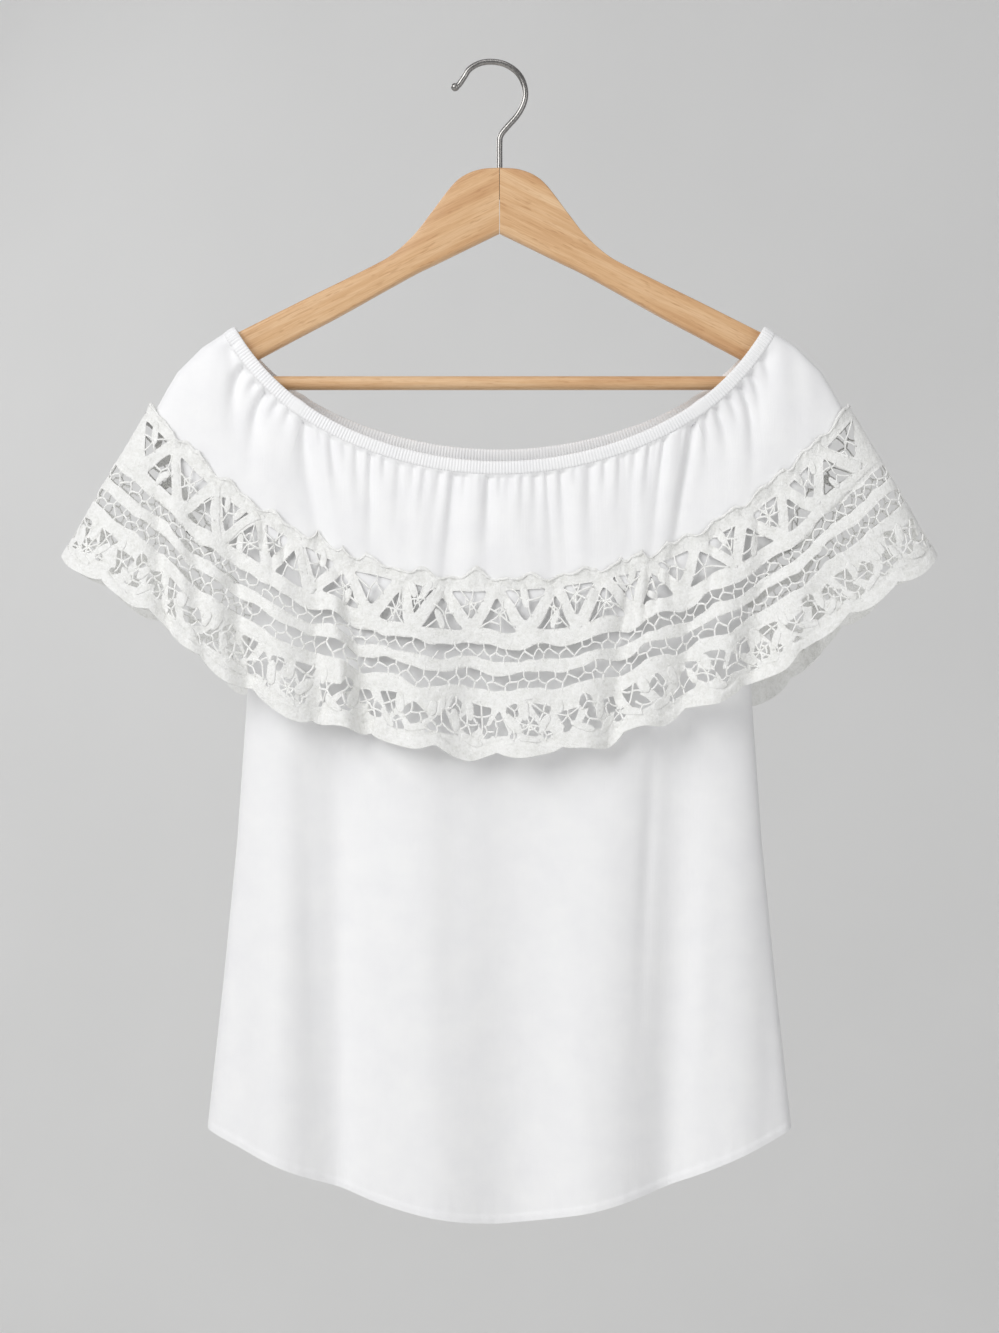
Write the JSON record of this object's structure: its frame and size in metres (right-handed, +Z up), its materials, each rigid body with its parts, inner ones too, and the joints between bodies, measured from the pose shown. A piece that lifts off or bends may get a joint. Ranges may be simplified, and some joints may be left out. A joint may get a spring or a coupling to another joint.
{
  "type": "off-shoulder top on a hanger",
  "caption": "Off-shoulder top with a gathered neck casing and a wide lace flounce, hanging on a wooden hanger with a bar and a wire hook.",
  "frame": {"origin": "inside top of the hook, where a rail carries it, in line with the hook's stem", "axes": "+Z up, -Y the front of the top, +X to the right as the front is seen"},
  "size_m": [0.6716, 0.1148, 0.8912],
  "materials": {
    "white_viscose": "soft plain weave, slight sheen",
    "white_cotton_lace": "matt cotton tape lace",
    "lacquered_wood": "clear satin lacquer over fine grain",
    "steel_wire": "polished wire"
  },
  "bodies": {
    "root": {"neck_casing": "white_viscose", "front_panel": "white_viscose", "back_panel": "white_viscose", "left_sleeve": "white_viscose", "right_sleeve": "white_viscose", "lace_front": "white_cotton_lace", "lace_back": "white_cotton_lace", "hanger_left_arm": "lacquered_wood", "hanger_right_arm": "lacquered_wood", "hanger_bar": "lacquered_wood", "hanger_hook": "steel_wire"}
  },
  "joints": []
}
